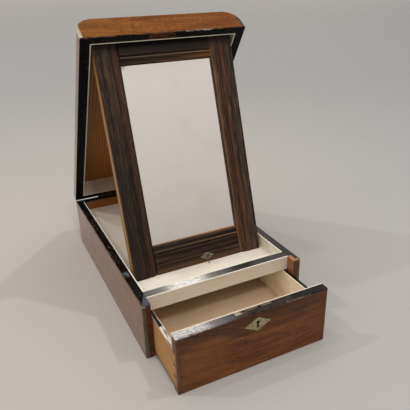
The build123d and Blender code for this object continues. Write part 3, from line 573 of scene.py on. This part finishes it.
selvedge_finish, x, y, z = new_finish("selvedge_brass")
colour, tarnish = old_brass(x, y * 2, z, tint(64, 52, 42), tint(120, 106, 86))
handled = rise(x + noise(x, y, z, 0.004, 0.003) * 0.006, -0.010, -0.0145)
colour = blend(colour, tint(184, 172, 150), handled * 0.9)
blackened = rise(y + drawer_pull, -0.146, -0.1466) * rise(x, -0.013, -0.009)
colour = blend(colour, tint(20, 16, 14), blackened * 0.85)
polish(selvedge_finish, colour, 0.44 + tarnish * 0.2, tarnish, relief=0.00006, round_over=0.0002,
       metallic=0.35)
dress(selvedge_finish, "lock_selvedge")

escutcheon_finish, x, y, z = new_finish("escutcheon_brass", origin=drawer_shut)
colour, tarnish = old_brass(x, y, z, tint(120, 110, 80), tint(166, 156, 118))
green = rise(noise(x, y, z, 0.003, 0.003, 3.0), 0.5, 0.66)
colour = blend(colour, tint(108, 108, 74), green * 0.6)
slope = lozenge(x - keyhole_x, z - escutcheon_z, half_width=0.0155, half_height=0.0083)
# A painted highlight on the lozenge's bevelled border.
colour = blend(colour, tint(196, 188, 160), band(slope, 0.94, 0.03, 0.05) * 0.5)
# Painted shade inside the keyhole.
colour = blend(colour, tint(12, 10, 8), y > case_front + skin / 2)
polish(escutcheon_finish, colour, 0.5 + tarnish * 0.14, tarnish, relief=0.00005, round_over=0.0002,
       metallic=0.3)
dress(escutcheon_finish, "keyhole_escutcheon")

# ---------------------------------------------------------------- lid boards
# A shallow box lid: front and back walls, two side walls rounded over with the panel they
# carry, all under one sheet of rosewood. The panel's underside is bare wood inside the lid.
hinge = tuple(frame["joints"][0]["pos_m"])
lid_open = radians(-55.7)
lid_recess = 0.0255
lid_wall_inner = 0.089


def lid_sheet(x, y, z):
    """The veneer over the lid's top and rounded sides: its colour and its pores."""
    return rosewood(y, x, z * 1.7, tint(88, 46, 22), tint(122, 72, 40), tint(148, 98, 60), 0.35)


lid_finish, x, y, z = new_finish("lid_veneer", origin=hinge, tilt=lid_open)
veneer, pores = lid_sheet(x, y, z)
bare, _ = ground_wood(y, x, z, tint(112, 66, 16), tint(156, 100, 30), tint(178, 122, 46))
inner = (z < lid_recess + 0.001) * (abs(x) < lid_wall_inner + 0.0005)
colour = blend(veneer, bare, inner)
scuffs = rise(noise(y, x, z, 0.03, 0.006, 4.0), 0.57, 0.7)
colour = blend(colour, tint(168, 124, 90), worn_edge(colour, 0.001) * scuffs * 0.6)
polish(lid_finish, colour, 0.34 + pores * 0.14, -pores, relief=0.00006,
       coat=1 - inner, coat_roughness=0.2)
dress(lid_finish, "lid_panel", "lid_left_wall", "lid_right_wall")

lid_end_finish, x, y, z = new_finish("lid_end_veneer", origin=hinge, tilt=lid_open)
veneer, pores = rosewood(x, z, y, tint(100, 53, 18), tint(138, 80, 29), tint(168, 108, 46), 0.35)
scuffs = rise(noise(x, z, y, 0.02, 0.004, 4.0), 0.5, 0.62)
near_rim = rise(z + noise(x, z, y, 0.016, 0.004, 3.0) * 0.006, 0.0066, 0.0044)
centre_wear = band(x, 0.025, 0.026, 0.012) * near_rim * scuffs
dark_rim = near_rim * rise(x, 0.055, 0.08) * 0.7
colour = blend(veneer, tint(136, 86, 36), rise(x, -0.03, -0.09) * 0.45)
colour = blend(colour, tint(118, 60, 20), rise(x, -0.04, 0.03) * 0.35)
colour = blend(colour, tint(200, 176, 152), centre_wear * 0.75)
colour = blend(colour, tint(52, 30, 20), dark_rim)
over_the_top, _ = lid_sheet(x, y, z)
on_top = abs(y + hinge[1]) < case_back - skin
colour = blend(colour, over_the_top, on_top)
polish(lid_end_finish, colour, 0.42 + pores * 0.14, -pores, relief=0.00008, coat=on_top,
       coat_roughness=0.25, shine=0.12)
dress(lid_end_finish, "lid_front_wall", "lid_back_wall")

lid_string_finish, x, y, z = new_finish("lid_string", origin=hinge, tilt=lid_open)
colour, roughness, fibre = string_wood(z, x, y, rise(x, 0.0, -0.05))
colour = blend(colour, tint(56, 36, 20), rise(x, 0.0, 0.05) * 0.85)
polish(lid_string_finish, colour, roughness, fibre, relief=0.00005, coat=0.3, coat_roughness=0.2)
dress(lid_string_finish, "lid_corner_strings")

# ---------------------------------------------------------------- lid rims and linings
# Black bandings mitred round the lid's rim. In the middle of the front one is the bare
# brown patch where the lock's hook plate once sat. Maple slips line the walls.
patch_middle = -0.0065
lid_slip_edge = 0.0007

lid_rim_finish, x, y, z = new_finish("lid_rim_ebonised", origin=hinge, tilt=lid_open)
colour, roughness, relief = ebony(y, x, z)
polish(lid_rim_finish, colour, roughness + 0.15, relief, relief=0.00012, shine=0.08)
dress(lid_rim_finish, "lid_rim_left", "lid_rim_right", "lid_rim_back")

lid_front_rim_finish, x, y, z = new_finish("lid_front_rim_ebonised", origin=hinge, tilt=lid_open)
colour, roughness, relief = ebony(x, y, z)
ragged = noise(x, y, z, 0.006, 0.003, 4.0) * 0.008
patch = rise(abs(x - patch_middle) + ragged, 0.022, 0.019)
patch_wood = ramp(noise(x, y, z, 0.009, 0.0012, 4.0), (0.35, tint(22, 14, 10)),
                  (0.55, tint(80, 48, 28)), (0.75, tint(132, 92, 60)))
colour = blend(colour, patch_wood, patch * 0.85)
outer = rise(y + hinge[1] + noise(x, y, z, 0.006, 0.002, 3.0) * 0.003, case_front + 0.0022,
             case_front + 0.0014)
chips = outer * rise(noise(x, y, z, 0.008, 0.004, 3.0), 0.45, 0.56)
pale = band(x, 0.032, 0.02, 0.012)
colour = blend(colour, tint(96, 72, 54), chips * 0.6)
colour = blend(colour, tint(196, 180, 160), chips * pale * 0.45)
polish(lid_front_rim_finish, colour, roughness + patch * 0.3 + chips * 0.2, relief - chips - patch,
       relief=0.00015, shine=0.08)
dress(lid_front_rim_finish, "lid_rim_front")

lid_lining_finish, x, y, z = new_finish("lid_lining_maple", origin=hinge, tilt=lid_open)
colour, fibre = maple(y, z, x, tint(168, 152, 124), tint(206, 192, 166), tint(220, 208, 184))
# A painted highlight on the slip's edge at the rim.
colour = blend(colour, tint(226, 220, 198), rise(z, lid_slip_edge + 0.0005, lid_slip_edge))
finish_slip(lid_lining_finish, colour, fibre, roughness=0.5, shine=0.3)
dress(lid_lining_finish, "lid_lining_left", "lid_lining_right")

lid_end_lining_finish, x, y, z = new_finish("lid_end_lining_maple", origin=hinge, tilt=lid_open)
colour, fibre = maple(x, z, y, tint(172, 150, 130), tint(214, 194, 172), tint(228, 212, 190))
# A painted highlight on the slip's edge at the rim.
colour = blend(colour, tint(226, 220, 198), rise(z, lid_slip_edge + 0.0005, lid_slip_edge))
finish_slip(lid_end_lining_finish, colour, fibre, roughness=0.5, shine=0.3)
dress(lid_end_lining_finish, "lid_lining_front", "lid_lining_back")

# ---------------------------------------------------------------- mirror frame
# Coromandel wood, black and brown in long stripes: two stiles the whole height, each with
# bands of its own from the glass outwards, and two rails between them. The stiles' bands mix the
# wood's stripes with painted shade and highlight along the moulding. The stiles' outer edges are
# left bare and show tan, and the rails' moulding carries painted highlight and shade lines, with a
# painted shadow along the top rail's upper edge.
pivot = tuple(frame["joints"][1]["pos_m"])
lean = radians(72.87)
mirror_side = 0.085
mirror_back = -0.007
mirror_foot = -0.2685755
stile_width = 0.0285
bottom_rail_width = 0.0365
sight_x = mirror_side - stile_width
top_sight = -0.0225
low_sight = mirror_foot + bottom_rail_width
quirk_at = 0.0111


def coromandel(along, across, depth):
    """Black and brown streaks from broad to hair fine: its colour and its fibre."""
    wander = across + noise(along, across, depth, 0.14, 0.03) * 0.007
    broad = noise(along, wander, depth, 0.25, 0.0048, 1.0)
    streaks = noise(along, wander, depth, 0.09, 0.0015)
    fine = noise(along, wander, depth, 0.03, 0.0006, 1.0)
    fibre = noise(along, across, depth, 0.01, 0.0004)
    colour = ramp(broad * 0.42 + streaks * 0.36 + fine * 0.22,
                  (0.42, tint(18, 15, 15)), (0.48, tint(40, 31, 27)), (0.53, tint(66, 50, 40)),
                  (0.59, tint(86, 64, 48)), (0.68, tint(112, 86, 64)))
    return colour, fibre


stile_finish, x, y, z = new_finish("mirror_stile_coromandel", origin=pivot, tilt=lean)
colour, fibre = coromandel(y, x, z)
from_sight = abs(x) - sight_x
across = (from_sight + noise(y, x, z, 0.045, 0.005, 3.0) * 0.004 - 0.002) / stile_width
# The bands mix the wood's stripes with painted shade in the moulding's quirk and a painted
# highlight near the glass.
left_bands = ramp(
    across, (0.0, tint(30, 20, 14)), (0.05, tint(44, 28, 20)), (0.12, tint(92, 58, 38)),
    (0.3, tint(88, 54, 36)), (0.37, tint(40, 28, 20)), (0.42, tint(34, 26, 18)),
    (0.54, tint(48, 37, 27)), (0.58, tint(80, 58, 42)), (0.68, tint(78, 54, 38)),
    (0.73, tint(26, 22, 24)), (0.84, tint(26, 23, 28)), (0.89, tint(52, 36, 24)))
right_bands = ramp(
    across, (0.0, tint(28, 18, 12)), (0.02, tint(40, 26, 16)), (0.045, tint(152, 106, 62)),
    (0.08, tint(144, 98, 56)), (0.11, tint(96, 66, 42)), (0.19, tint(84, 58, 38)),
    (0.215, tint(34, 22, 15)), (0.26, tint(32, 21, 15)), (0.3, tint(82, 58, 44)),
    (0.4, tint(92, 62, 46)), (0.52, tint(84, 56, 40)), (0.58, tint(40, 30, 20)),
    (0.67, tint(40, 30, 20)), (0.71, tint(64, 57, 49)), (0.86, tint(58, 51, 45)),
    (0.91, tint(26, 22, 22)))
both_bands = blend(left_bands, right_bands, x > 0.0)
colour = blend(colour, both_bands, noise(y, x, z, 0.04, 0.002, 3.0) * 0.9 + 0.1)
on_left = rise(x, 0.02, -0.02)
on_right = rise(x, -0.02, 0.06)
shaded_foot = rise(y, -0.02, -0.2) * on_left
colour = blend(colour, tint(12, 8, 7), shaded_foot * 0.42 + on_left * 0.06)
russet = rise(noise(y, x, z, 0.03, 0.0016, 3.0), 0.46, 0.66) * band(across, 0.42, 0.12, 0.06)
colour = blend(colour, tint(116, 64, 36), russet * on_right * 0.5)
hairs = noise(y, x, z, 0.018, 0.0011)
colour = blend(colour, tint(138, 104, 76), rise(hairs, 0.52, 0.7) * (shaded_foot * -0.22 + 0.36))
colour = blend(colour, tint(18, 12, 9), rise(hairs, 0.48, 0.32) * 0.5)
# Painted shadow at the stiles' tops, under the lid's rim.
shadow_under_rim = rise(y, -0.013, -0.004)
colour = blend(colour, tint(12, 10, 10), shadow_under_rim * 0.6)
bare, _ = ground_wood(y, x, z, tint(118, 74, 30), tint(156, 104, 50), tint(180, 130, 74), 0.15)
bare_edge = rise(abs(x) + noise(y, x, z, 0.02, 0.003) * 0.0006, mirror_side, mirror_side + 0.0003)
bare_edge = bare_edge.maths("MAXIMUM", z < mirror_back + skin / 2)
on_side = abs(x) > mirror_side - skin / 4
bare = blend(bare, tint(206, 158, 100), on_side * 0.6)
bare = blend(bare, tint(78, 47, 23), on_side * rise(abs(z), 0.0022, 0.0036) * 0.8)
bare_edge = bare_edge.maths("MAXIMUM", on_side)
colour = blend(colour, bare, bare_edge)
polish(stile_finish, colour, 0.38 + fibre * 0.14, fibre, relief=0.00008, shine=0.22)
dress(stile_finish, "mirror_left_stile", "mirror_right_stile")

rail_finish, x, y, z = new_finish("mirror_rail_coromandel", origin=pivot, tilt=lean)
colour, fibre = coromandel(x, y, z)
from_sight = (y - top_sight).maths("MAXIMUM", low_sight - y)
# Painted shade in the moulding's quirk.
quirk_shade = band(from_sight, quirk_at, 0.0003, 0.0003)
colour = blend(colour, tint(12, 10, 10), quirk_shade * 0.7)
to_the_right = rise(x, -0.04, 0.05)
# A painted highlight along the moulding's crest.
crest_highlight = band(from_sight, quirk_at - 0.0024, 0.0003, 0.0005)
crest_highlight = crest_highlight * (rise(fibre, 0.3, 0.6) * 0.3 + 0.3) * (to_the_right * 0.4 + 0.6)
colour = blend(colour, blend(tint(150, 132, 118), tint(206, 150, 98), to_the_right), crest_highlight)
# Painted shade lines along the moulding.
moulding_shade = band(from_sight, 0.0064, 0.0007, 0.0006) + band(from_sight, 0.0145, 0.001, 0.001)
colour = blend(colour, tint(18, 14, 13), moulding_shade * 0.55)
# A painted highlight on the lip at the glass.
sight_lip_highlight = band(from_sight, 0.0005, 0.0005, 0.0005) * rise(y, -0.1, -0.2)
colour = blend(colour, tint(176, 118, 72), sight_lip_highlight * (rise(x, -0.03, 0.04) * 0.3 + 0.5))
foot_brown = rise(y, -0.256, -0.267)
colour = blend(colour, tint(104, 76, 52), foot_brown * 0.55)
top_rail = rise(y, -0.2, -0.1)
warm_end = band(from_sight, 0.0042, 0.0012, 0.001) * rise(x, 0.0, 0.055) * top_rail
colour = blend(colour, tint(150, 92, 46), warm_end * 0.5)
outer_flat = band(from_sight, 0.0165, 0.003, 0.002) * top_rail
colour = blend(colour, tint(62, 52, 46), outer_flat * 0.5)
# Painted shadow of the lid's rim along the top rail's upper edge.
dark_top = band(from_sight, 0.025, 0.0045, 0.002) * top_rail
colour = blend(colour, tint(10, 9, 10), dark_top * 0.8)
colour = blend(colour, tint(150, 110, 66), z < mirror_back + skin / 2)
polish(rail_finish, colour, 0.38 + fibre * 0.14, fibre, relief=0.00008, shine=0.12)
dress(rail_finish, "mirror_top_rail", "mirror_bottom_rail")

# ---------------------------------------------------------------- looking glass
# Thin silvered plate held in the frame's rebate by a softwood backboard. The silvering has
# gone cloudy in specks, most of all in the upper left corner.
glass_finish, x, y, z = new_finish("old_silvering", origin=pivot, tilt=lean)
cloud = rise(noise(x, y, z, 0.05, 0.05, 4.0), 0.4, 0.8)
specks = rise(noise(x, y, z, 0.0018, 0.0018, 1.0), 0.79, 0.83)
corner = rise((x + sight_x) + (top_sight - y) + noise(x, y, z, 0.003, 0.003, 4.0) * 0.008,
              0.0125, 0.007)
colour = blend(tint(246, 242, 238), tint(240, 236, 230), cloud)
colour = blend(colour, tint(150, 142, 136), corner * 0.65)
colour = blend(colour, tint(190, 184, 178), specks * 0.4)
polish(glass_finish, colour, 0.04 + cloud * 0.03 + corner * 0.4, cloud, relief=0.000001,
       round_over=0.0001, metallic=1.0)
dress(glass_finish, "mirror_glass")

backboard_finish, x, y, z = new_finish("backboard_softwood", origin=pivot, tilt=lean)
colour, fibre = ground_wood(y, x, z, tint(132, 96, 56), tint(170, 130, 84), tint(190, 154, 108))
dust = rise(noise(x, y, z, 0.04, 0.04, 4.0), 0.5, 0.72)
colour = blend(colour, tint(112, 88, 62), dust * 0.5)
polish(backboard_finish, colour, 0.68 + dust * 0.1, fibre, relief=0.0001, shine=0.3)
dress(backboard_finish, "mirror_backboard")

# ---------------------------------------------------------------- mirror's brass plate
# A thin lozenge of brass, pinned on the bottom rail to the right of its middle. It is grimed,
# with a painted highlight round its border.
plate_x = 0.0104
plate_y = -0.2606

plate_finish, x, y, z = new_finish("mirror_plate_brass", origin=pivot, tilt=lean)
colour, tarnish = old_brass(x, y, z, tint(46, 42, 34), tint(110, 104, 84))
slope = lozenge(x - plate_x, y - plate_y, half_width=0.00925, half_height=0.0044)
border_highlight = band(slope, 0.9, 0.06, 0.1)
green = rise(x, plate_x, plate_x + 0.0026) * rise(slope, 0.8, 0.6)
colour = blend(colour, tint(86, 98, 84), green * 0.6)
colour = blend(colour, tint(158, 150, 132), border_highlight * 0.7)
polish(plate_finish, colour, 0.46 + tarnish * 0.2, tarnish, relief=0.00005, round_over=0.0002,
       metallic=0.4)
dress(plate_finish, "mirror_plate", "mirror_plate_pins")

# ---------------------------------------------------------------- floor, lamps and camera
# A pale floor that runs to the horizon, under an even light from above. Its colour carries painted
# light
# and shade: darker about a metre out, paler far off, and darker and cooler towards the front
# right.
# Three small lamps throw the faint shadows, one to the left and two to the right,
# and a broader lamp in front and a broad one at the left fill them.
floor_size = 60
floor_chart_reach = 20.0
bpy.ops.mesh.primitive_plane_add(size=floor_size, location=(0, 0, 0))
floor = bpy.context.object
floor.name = "floor"
bpy.ops.object.transform_apply(location=True)
floor_paint, x, y, z = new_finish("floor_paint")
distance = (x * x + y * y).maths("SQRT")
mottle = noise(x, y, z, 0.22, 0.22, 3.0)
colour = ramp(distance / floor_chart_reach + mottle * 0.002,
              (0.0175, tint(195, 188, 182)), (0.04, tint(188, 184, 180)),
              (0.06, tint(184, 181, 179)), (0.0825, tint(185, 183, 182)),
              (0.125, tint(194, 192, 191)), (0.195, tint(205, 202, 200)),
              (0.375, tint(217, 213, 210)), (0.6, tint(222, 217, 213)),
              (1.0, tint(228, 222, 217)))
# Painted shade: darker and cooler towards the front right.
to_the_right = rise((x - y) / (distance + 0.6), -0.15, 0.4)
colour = blend(colour, tint(168, 173, 178), to_the_right * (rise(distance, 1.0, 4.0) * 0.2 + 0.31))
polish(floor_paint, colour, 0.75 + mottle * 0.1, mottle, relief=0.0, shine=0.2)
floor.data.materials.append(floor_paint)

world = bpy.data.worlds.new("room")
bpy.context.scene.world = world
world.use_nodes = True
room = world.node_tree
room.nodes.clear()
looking = Tone(room, room.nodes.new("ShaderNodeTexCoord").outputs["Generated"])
height = looking.node("ShaderNodeSeparateXYZ", {0: looking}, output=2)
seen = looking.node("ShaderNodeLightPath", {}, output="Is Camera Ray")
for kind in ("Is Glossy Ray", "Is Transmission Ray"):
    seen = seen.maths("MAXIMUM", looking.node("ShaderNodeLightPath", {}, output=kind))
sky = blend(tint(56, 56, 56), tint(255, 253, 250), rise(height, 0.0, 0.85))
wall = ramp(height, (0.0, tint(168, 165, 161)), (0.08, tint(189, 183, 177)),
            (0.18, tint(202, 196, 190)), (0.38, tint(216, 211, 206)), (0.9, tint(150, 149, 147)))
ceiling_strength = 0.74
ceiling_glow = looking.node("ShaderNodeBackground", {"Color": sky, "Strength": ceiling_strength})
backdrop = looking.node("ShaderNodeBackground", {"Color": wall, "Strength": 1.0})
both = looking.node("ShaderNodeMixShader", {0: seen, 1: ceiling_glow, 2: backdrop})
looking.node("ShaderNodeOutputWorld", {"Surface": both})

lamp_reach = 3.5
lamp_colour = (1.0, 0.985, 0.96)
for name, towards, size, power in (
    ("right_lamp", (0.351, -0.159, 0.923), 0.08, 14.0),
    ("left_lamp", (-0.596, 0.264, 0.759), 0.08, 13.0),
    ("ceiling_lamp", (-0.298, 0.093, 0.95), 0.08, 8.0),
    ("front_lamp", (-0.05, -0.62, 0.78), 0.3, 22.0),
    ("side_window", (-0.86, -0.1, 0.5), 1.2, 8.0),
):
    place = [part * lamp_reach for part in towards]
    bpy.ops.object.light_add(type="AREA", location=place)
    lamp = bpy.context.object
    lamp.name = name
    lamp.data.size = size
    lamp.data.energy = power
    lamp.data.color = lamp_colour
    lamp.rotation_euler = (-lamp.location).to_track_quat("-Z", "Y").to_euler()

bpy.ops.object.camera_add(location=(-0.21658, -0.55626, 0.37374),
                          rotation=(1.140657, 0.025026, -0.456294))
camera = bpy.context.object
camera.data.sensor_width = 36.0
camera.data.lens = 42.67
bpy.context.scene.camera = camera
bpy.context.scene.view_settings.view_transform = "Standard"
